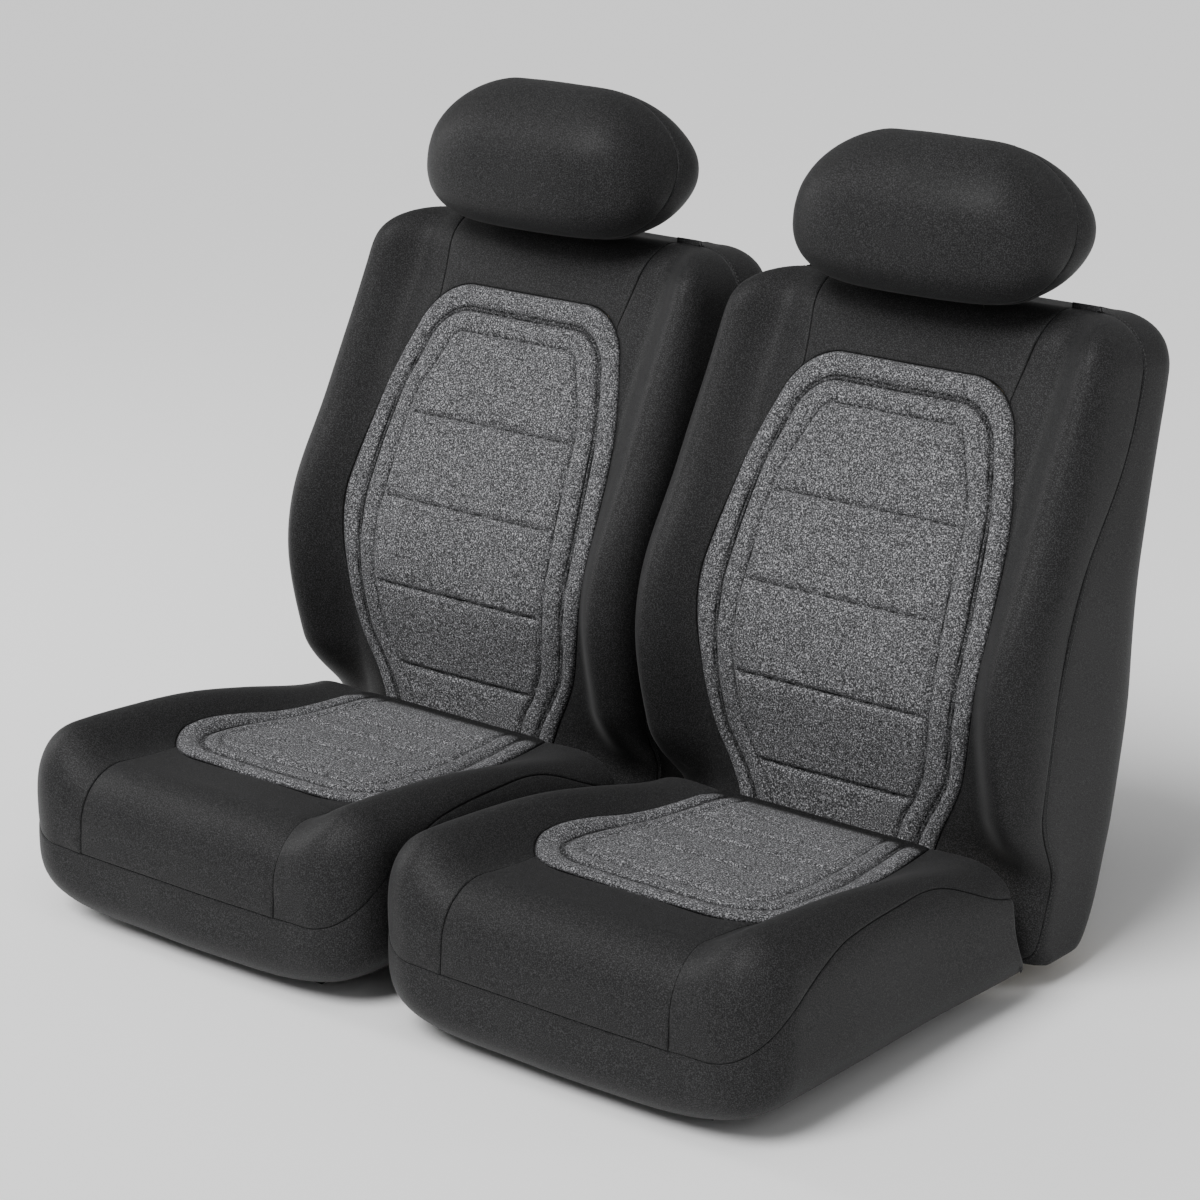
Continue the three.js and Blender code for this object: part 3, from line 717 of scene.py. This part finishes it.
def back_bolster(side, which):
    """Bolster panel: from the middle seam round to the side seam, closing on the shoulder."""
    sign = -1 if which == "left" else 1

    def surface(s, t):
        v = rise(np.clip(t / BACK_CAP_FROM, 0, 1), PANEL_START, BACK_TOP)
        half, _near, _far = back_section(v)
        q = q_of_x(inner_x(v) / half, *BACK_POWERS[:2]) * (1 - s) + back_seam_q(v) * s
        ring = back_ring(q, v)
        k = 0.97 * np.clip((t - BACK_CAP_FROM) / (1 - BACK_CAP_FROM), 0, 1)[..., None]
        seam_y = side_seam(BACK_TOP)
        corner = back_place(yoke_half(v), -seam_y + 0 * v, v)
        point = ring + (corner - ring) * k
        point[..., 0] *= sign
        return point

    laid = lay(surface, 6, 4.5)
    fade = 1 - 0.9 * np.clip((laid[2] - BACK_CAP_FROM) / (1 - BACK_CAP_FROM), 0, 1)
    return panel(side, f"backrest_bolster_{which}", laid, MIDDLE, ("s0", "s1"), black_cloth(),
                 seed=7 + sign, fade=fade, tucked=True)[0]


def back_side(side, which):
    """Side gusset: from the side seam to the rear edge seam, over the shoulder to the yoke. Above
    share BACK_CAP_FROM, its ring at the top runs in to the yoke's edge. Returns the panel, its
    outer grid and its normals, for the stitches."""
    sign = -1 if which == "left" else 1

    def surface(s, t):
        v = rise(np.clip(t / BACK_CAP_FROM, 0, 1), PANEL_START, BACK_TOP)
        ring = back_ring(back_seam_q(v) * (1 - s) + back_rear_q(v) * s, v)
        k = np.clip((t - BACK_CAP_FROM) / (1 - BACK_CAP_FROM), 0, 1)[..., None]
        seam_y = side_seam(BACK_TOP)
        line_y = seam_y + (back_rear(BACK_TOP) - REAR_SEAM - 12 - seam_y) * s
        edge = back_place(yoke_half(v), -line_y + 0 * v, v)
        point = ring + (edge - ring) * k
        point[..., 0] *= sign
        return point

    laid = lay(surface, 6)
    fade = 1 - 0.6 * np.clip((laid[2] - BACK_CAP_FROM) / (1 - BACK_CAP_FROM), 0, 1)
    return panel(side, f"backrest_side_{which}", laid, MIDDLE, ("s0", "s1", "t1"), black_cloth(),
                 seed=11 + sign, fade=fade, tucked=True)


def back_rear_panel(side):
    """Rear panel between the two rear edge seams, from the top edge down to its hem."""
    def surface(s, t):
        v = rise(t, REAR_HEM, BACK_TOP)
        side_sign = np.where(s < 0.5, 1, -1)
        point = back_ring(-2 + (back_rear_q(v) + 2) * np.abs(1 - 2 * s), v)
        point[..., 0] *= side_sign
        return point

    return panel(side, "backrest_rear_panel", lay(surface, 7), MIDDLE, ("s0", "s1", "t1"),
                 black_cloth(), seed=17, tucked=True)[0]


def top_stitch(side, name, grid, normal, column):
    """Stitches along one column of a panel's grid, beside its edge."""
    rows = slice(6, -4)
    line = grid[rows, column]
    path = seam_path(line, STITCH_PITCH)
    share = np.linspace(0, 1, len(path))
    base = np.linspace(0, 1, len(line))
    up = np.stack([np.interp(share, base, normal[rows, column, k]) for k in range(3)], 1)
    return stitches(side, name, path + up * 0.2, up, thread())


# ---- The cushion cover ----

SEAT_MIDDLE = (0, 0, 110)  # a point inside the cushion
SEAT_REAR = -211.5  # rear ends of the cushion's top panels, at the trough
SEAT_CAP_FROM = 0.84  # share of a bolster's run at which it turns onto the front face
FRONT_FROM = 120.0  # where the front panel's seams leave the insert's outline
FRONT_TURN = 0.72  # share of the front panel's run at which it turns down
TROUGH_R = 122.0  # the skirt stays this far from the recliner's axis
HEM_FROM, HEM_WIDTH = 0.62, 46.0  # share of the skirt's run at which it turns under, and how far


def seat_insert(side):
    """Heather insert of the seat: x is a share of the outline's half width."""
    def surface(s, t):
        v = rise(t, SEAT_REAR, SEAT_OUT.end)
        return cushion_surface((2 * s - 1) * SEAT_OUT.half(v), v)

    laid = lay(surface, 2.9, 2.9)
    v = -laid[0][..., 1]
    lift = quilting(laid[0][..., 0], v, SEAT_OUT, SEAT_GROOVE, SEAT_FIELD, SEAT_CHANNELS, 6.0, 6.0)
    lift = lift * smooth((v + 206) / 40)
    return panel(side, "cushion_insert", laid, SEAT_MIDDLE, ("s0", "s1", "t1"), heather_cloth(),
                 lift)[0]


def seat_front(side):
    """Front middle panel: forward from the insert, over the front edge, down to the low seam."""
    def surface(s, t):
        x = (2 * s - 1)
        start = outline_end(SEAT_OUT, x * front_panel_half(np.full_like(x, FRONT_FROM)), 70)
        v = start + (CUSHION_FRONT - start) * np.sin(np.clip(t / FRONT_TURN, 0, 1) * math.pi / 2)
        point = cushion_surface(x * front_panel_half(v), v)
        k = np.clip((t - FRONT_TURN) / (1 - FRONT_TURN), 0, 1)
        point[..., 2] += (SEAM_LOW - point[..., 2]) * k
        point[..., 1] -= 2.0 * np.sin(math.pi * k / 2)
        return point

    return panel(side, "cushion_front_panel", lay(surface, 5.5), SEAT_MIDDLE,
                 ("s0", "s1", "t0", "t1"), black_cloth(), seed=23)[0]


def seat_inner_x(v):
    """Half width of the seam between bolster and middle: the insert's outline, then the front's."""
    insert = SEAT_OUT.half(np.minimum(v, SEAT_OUT.end))
    beyond = np.maximum(np.where(v < SEAT_OUT.end, insert, 0), front_panel_half(v))
    return np.where(v < 90, insert, beyond)


def seat_bolster(side, which):
    """Cushion bolster: from the insert and front seam round to the perimeter seam."""
    sign = -1 if which == "left" else 1

    def surface(s, t):
        v = rise(np.clip(t / SEAT_CAP_FROM, 0, 1), SEAT_REAR, CUSHION_FRONT)
        half, _top, _low = cushion_section(v)
        inner = q_of_x(seat_inner_x(v) / half, *SEAT_POWERS[:2])
        q = inner * (1 - s) + cushion_q_of_z(cushion_seam(v), v) * s
        ring = cushion_ring(q, v)
        k = np.clip((t - SEAT_CAP_FROM) / (1 - SEAT_CAP_FROM), 0, 1)
        corner = np.stack([front_panel_half(v), -v - 2.0 * k, SEAM_LOW + 0 * v], -1)
        point = ring + (corner - ring) * (0.97 * k)[..., None]
        point[..., 0] *= sign
        return point

    return panel(side, f"cushion_bolster_{which}", lay(surface, 5.5, 4.5), SEAT_MIDDLE,
                 ("s0", "s1"), black_cloth(), seed=29 + sign)[0]


def seat_skirt(side):
    """Skirt: from the perimeter seam down both sides and the front, curling under to its hem.
    s runs round from the left rear by the front to the right rear, t from the seam to the hem. Each
    point is where a level ray from the middle leaves the cushion, found by halving; the height of
    the seam that it hangs from is read again after each of three rounds."""
    centre_v, centre_z = 40.0, 100.0
    sweep = math.radians(140)

    def surface(s, t):
        a = (2 * s - 1) * sweep
        d = np.stack([np.sin(a), np.cos(a)], -1)
        zs = np.full(a.shape, SEAM_LOW)
        drop = np.clip(t / HEM_FROM, 0, 1)
        for _round in range(3):
            low, high = np.zeros(a.shape), np.full(a.shape, 700.0)
            z = zs + (CUSHION_LOW + 0.6 - zs) * np.sin(drop * math.pi / 2)
            for _ in range(30):
                mid = (low + high) / 2
                x, v = d[..., 0] * mid, centre_v + d[..., 1] * mid
                value = cushion_inside(x, v, z)
                low, high = np.where(value < 1, mid, low), np.where(value < 1, high, mid)
            mid = (low + high) / 2
            v = centre_v + d[..., 1] * mid
            zs = np.where(np.abs(d[..., 0] * mid) > 150, cushion_seam(v), SEAM_LOW)
            zs = np.maximum(zs, SEAM_LOW)
        tuck = np.clip((t - HEM_FROM) / (1 - HEM_FROM), 0, 1) * HEM_WIDTH
        x, y = d[..., 0] * (mid - tuck), -centre_v - d[..., 1] * (mid - tuck)
        trough = np.sqrt(np.maximum(0, TROUGH_R**2 - np.minimum(z - HINGE_Z, 0) ** 2))
        return np.stack([x, np.minimum(y, HINGE_Y - trough), z], -1)

    laid = lay(surface, 6, 7, (110, 260))
    return panel(side, "cushion_skirt", laid, (0, 0, centre_z), ("t0",), black_cloth(), seed=31)[0]


def cushion_inside(x, v, z):
    """Below 1 inside the cushion."""
    ok = (v < CUSHION_FRONT) & (v > CUSHION_BACK)
    vv = np.clip(v, CUSHION_BACK, CUSHION_FRONT)
    half, top, low = cushion_section(vv)
    w = np.abs((z - (top + low) / 2) / ((top - low) / 2))
    return np.where(ok, np.abs(x / half) ** SEAT_POWERS[0] + w ** SEAT_POWERS[1], 9.0)


# ---- The headrest cover ----

def disc(s, t):
    """A square laid on a disc: returns radius and angle, with no pole at the middle."""
    x, y = 2 * s - 1, 2 * t - 1
    u, w = x * np.sqrt(1 - y * y / 2), y * np.sqrt(1 - x * x / 2)
    return np.hypot(u, w), np.arctan2(w, u)


def head_panel(side, name, facing_sign, seed):
    """Half of the headrest's cover, in front of or behind its curved seam: rays leave the middle
    at an angle that grows with the disc's radius until they meet the seam."""
    centre = np.array([0, 430.0, 862.0])

    def direction(radius, angle):
        return np.stack([np.sin(radius) * np.cos(angle), facing_sign * np.cos(radius),
                         np.sin(radius) * np.sin(angle)], -1)

    angles = np.linspace(-math.pi, math.pi, 361)
    low, high = np.zeros(361), np.full(361, math.pi * 0.86)
    for _ in range(34):
        mid = (low + high) / 2
        p = head_cast(direction(mid, angles), centre)
        _value, v = head_inside(p)
        short = facing_sign * (p[:, 1] - head_seam(v)) > 0
        low, high = np.where(short, mid, low), np.where(short, high, mid)
    limit = (low + high) / 2

    def surface(s, t):
        r, angle = disc(s, t)
        return head_cast(direction(r * np.interp(angle, angles, limit), angle), centre)

    laid = lay(surface, 5.5, 5.5, (90, 90))
    return panel(side, name, laid, centre, ("s0", "s1", "t0", "t1"), black_cloth(), seed=seed)[0]


# ---- Foam cores ----

CORE_INSET = 10.0  # foam below the outside of the cover


def core(side, name, ring_of, low, high, centre):
    """A closed foam block: rings of the form moved in along their normals, each end closed by a
    fan of triangles."""
    levels = low + (high - low) * (0.5 - 0.5 * np.cos(np.linspace(0.02, math.pi - 0.02, 60)))
    r = np.arange(0, 8, 1 / 18)
    p = ring_of(*np.broadcast_arrays(np.where(r < 4, 2 - r, r - 6)[None], levels[:, None]))
    p[..., 0] *= np.where(r < 4, 1, -1)
    middle = p.mean(1, keepdims=True)
    along = np.roll(p, -1, 1) - np.roll(p, 1, 1)
    normal = np.cross(along, np.gradient(p, axis=0))
    normal /= np.linalg.norm(normal, axis=-1, keepdims=True) + 1e-9
    normal *= np.sign((normal * (p - middle)).sum())
    p = p - normal * CORE_INSET
    n, m = p.shape[:2]
    i = np.arange(n * m).reshape(n, m)
    j = np.roll(i, -1, 1)
    sides = np.stack([i[:-1], j[:-1], j[1:], i[1:]], -1).reshape(-1, 4)
    ends = [np.stack([np.full(m, n * m), j[0], i[0]], 1),
            np.stack([np.full(m, n * m + 1), i[-1], j[-1]], 1)]
    points = np.concatenate([p.reshape(-1, 3), middle[0], middle[-1]])
    faces = [sides, np.concatenate(ends)]
    q = points[sides]
    normal = np.cross(q[:, 1] - q[:, 0], q[:, 3] - q[:, 0])
    if (normal * (q.mean(1) - np.array(centre))).sum() < 0:
        faces = [f[:, ::-1] for f in faces]
    return mesh(f"{side}_{name}", to_frame(points, side), faces, foam())


# ---- Operators ----

def settle(obj, body, replaced=()):
    """Puts a finished piece on its body and hides the CAD nodes that it stands for."""
    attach(obj, body)
    if replaced:
        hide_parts(*replaced)
    return obj


class ClothSettings(bpy.types.PropertyGroup):
    sheen: bpy.props.FloatProperty(
        name="Sheen", description="Weight of the black cloth's sheen", default=0.05, min=0, max=1,
        subtype="FACTOR")


class StageSettings(bpy.types.PropertyGroup):
    azimuth: bpy.props.FloatProperty(
        name="Azimuth", description="Camera's angle round the seats", default=math.radians(39.0),
        unit="ROTATION")
    elevation: bpy.props.FloatProperty(
        name="Elevation", description="Camera's angle above the horizon", default=math.radians(17.6),
        unit="ROTATION")
    lens: bpy.props.FloatProperty(
        name="Lens", description="Focal length in millimetres on a 36 mm sensor", default=108.0)


class SEATCOVER_OT_backrests(bpy.types.Operator):
    """Makes the backrest covers"""
    bl_idname = "seatcover.backrests"
    bl_label = "Backrest covers"

    def execute(self, context):
        for side in SIDES:
            body = f"{side}_backrest"
            settle(back_insert(side), body,
                   [f"{side}_backrest_center_pad"])
            settle(back_yoke(side), body, [f"{side}_backrest_yoke"])
            for which in SIDES:
                settle(back_bolster(side, which), body,
                       [f"{side}_backrest_bolster_{which}"])
                obj, outer, normal = back_side(side, which)
                settle(obj, body, [f"{side}_backrest_side_{which}"])
                thread_line = top_stitch(side, f"backrest_side_stitches_{which}", outer, normal, 6)
                settle(thread_line, body)
            settle(back_rear_panel(side), body, [f"{side}_backrest_rear_panel"])
            block = core(side, "backrest_core", back_ring, BACK_LOW + 74, BACK_TOP - 12, MIDDLE)
            settle(block, body, [f"{side}_backrest_foam"])
        return {"FINISHED"}


class SEATCOVER_OT_cushions(bpy.types.Operator):
    """Makes the cushion covers"""
    bl_idname = "seatcover.cushions"
    bl_label = "Cushion covers"

    def execute(self, context):
        for side in SIDES:
            body = "seat_bases"
            settle(seat_insert(side), body, [f"{side}_cushion_center_pad"])
            settle(seat_front(side), body, [f"{side}_cushion_front_panel"])
            for which in SIDES:
                settle(seat_bolster(side, which), body,
                       [f"{side}_cushion_bolster_{which}"])
            settle(seat_skirt(side), body, [f"{side}_cushion_skirt"])
            block = core(side, "cushion_core", cushion_ring, -196, CUSHION_FRONT - 12, SEAT_MIDDLE)
            settle(block, body, [f"{side}_cushion_foam"])
        return {"FINISHED"}


class SEATCOVER_OT_headrests(bpy.types.Operator):
    """Makes the headrest covers"""
    bl_idname = "seatcover.headrests"
    bl_label = "Headrest covers"

    def execute(self, context):
        for side in SIDES:
            body = f"{side}_headrest"
            settle(head_panel(side, "headrest_front_panel", -1, 37), body,
                   [f"{side}_headrest_front_panel", f"{side}_headrest_foam"])
            settle(head_panel(side, "headrest_rear_panel", 1, 41), body,
                   [f"{side}_headrest_rear_panel"])
        return {"FINISHED"}


class SEATCOVER_OT_hardware(bpy.types.Operator):
    """Finishes the pans, frames, shafts, guides and posts"""
    bl_idname = "seatcover.hardware"
    bl_label = "Hardware finishes"

    def execute(self, context):
        steel = hardware("painted_steel", 0.012, 0.022, 0.0, 0.42, 0.15)
        plated = hardware("plated_steel", 0.72, 0.82, 1.0, 0.12, 0.02)
        plastic = hardware("moulded_plastic", 0.012, 0.02, 0.0, 0.55, 0.3)
        for name, node in frame["nodes"].items():
            if node.hide_render:
                continue
            material = plated if "post" in name else plastic if "guide" in name else steel
            node.data.materials.clear()
            node.data.materials.append(material)
        return {"FINISHED"}


FLOOR_REACH = 30.0  # metres
CAMERA_PLACE = (2.55132, -2.9982 + SHIFT_Y * MM, 1.68625)


def softbox(name, place, size, energy):
    """A rectangular light of size metres and energy watts, turned to the middle of the set."""
    light = bpy.data.lights.new(name, "AREA")
    light.shape, light.size, light.size_y = "RECTANGLE", size[0], size[1]
    light.energy = energy
    obj = bpy.data.objects.new(name, light)
    bpy.context.scene.collection.objects.link(obj)
    obj.location = place
    obj.rotation_mode = "QUATERNION"
    obj.rotation_quaternion = (Vector((0, 0, 0.5)) - Vector(place)).to_track_quat("-Z", "Y")


class SEATCOVER_OT_stage(bpy.types.Operator):
    """Makes the floor, the light and the camera"""
    bl_idname = "seatcover.stage"
    bl_label = "Stage"

    def execute(self, context):
        settings = context.scene.seat_stage
        scene = context.scene
        floor_points = FLOOR_REACH * np.array([[-1, -1, 0], [1, -1, 0], [1, 1, 0], [-1, 1, 0]])
        material, tree, shader = nodes_of("floor")
        if tree is not None:
            shader.inputs["Base Color"].default_value = (0.97, 0.97, 0.97, 1)
            shader.inputs["Roughness"].default_value = 0.9
            shader.inputs["Specular IOR Level"].default_value = 0.1
        floor = mesh("floor", floor_points, [np.array([[0, 1, 2, 3]])], material)

        world = bpy.data.worlds.new("studio")
        world.use_nodes = True
        background = world.node_tree.nodes["Background"]
        background.inputs["Color"].default_value = (1, 1, 1, 1)
        background.inputs["Strength"].default_value = 0.28
        scene.world = world

        softbox("overhead", (0.4, -0.9, 3.0), (2.2, 1.4), 16)
        softbox("front", (2.6, -2.4, 2.2), (1.2, 1.2), 8)
        softbox("left_rim", (-3.0, -0.6, 1.6), (0.6, 2.0), 36)
        softbox("right_rim", (3.2, 1.4, 1.4), (0.6, 2.0), 10)
        sun = bpy.data.lights.new("sky", "SUN")
        sun.energy, sun.angle = 3.3, math.radians(30)
        high = bpy.data.objects.new("sky", sun)
        scene.collection.objects.link(high)
        high.rotation_mode = "QUATERNION"
        high.rotation_quaternion = Vector((0.05, 0.62, -0.80)).to_track_quat("-Z", "Y")

        data = bpy.data.cameras.new("camera")
        data.lens, data.sensor_width = settings.lens, 36.0
        data.clip_end = 100
        camera = bpy.data.objects.new("camera", data)
        scene.collection.objects.link(camera)
        a, e = settings.azimuth, settings.elevation
        back = Vector((math.sin(a) * math.cos(e), -math.cos(a) * math.cos(e), math.sin(e)))
        camera.location = CAMERA_PLACE
        camera.rotation_mode = "QUATERNION"
        camera.rotation_quaternion = (-back).to_track_quat("-Z", "Y")
        scene.camera = camera
        return {"FINISHED"}


class SEATCOVER_PT_panel(bpy.types.Panel):
    """Lists the makers of the set"""
    bl_label = "Seat covers"
    bl_idname = "SEATCOVER_PT_panel"
    bl_space_type = "VIEW_3D"
    bl_region_type = "UI"
    bl_category = "Seat covers"

    def draw(self, context):
        for operator in OPERATORS:
            self.layout.operator(operator.bl_idname)
        self.layout.prop(context.scene.seat_cloth, "sheen")
        for name in ("azimuth", "elevation", "lens"):
            self.layout.prop(context.scene.seat_stage, name)


OPERATORS = (SEATCOVER_OT_backrests, SEATCOVER_OT_cushions, SEATCOVER_OT_headrests,
             SEATCOVER_OT_hardware, SEATCOVER_OT_stage)
CLASSES = (ClothSettings, StageSettings, *OPERATORS, SEATCOVER_PT_panel)


def register():
    for cls in CLASSES:
        bpy.utils.register_class(cls)
    bpy.types.Scene.seat_cloth = bpy.props.PointerProperty(type=ClothSettings)
    bpy.types.Scene.seat_stage = bpy.props.PointerProperty(type=StageSettings)


def unregister():
    del bpy.types.Scene.seat_cloth
    del bpy.types.Scene.seat_stage
    for cls in reversed(CLASSES):
        bpy.utils.unregister_class(cls)


def main():
    register()
    bpy.ops.seatcover.backrests()
    bpy.ops.seatcover.cushions()
    bpy.ops.seatcover.headrests()
    bpy.ops.seatcover.hardware()
    bpy.ops.seatcover.stage()


if __name__ == "__main__":
    main()
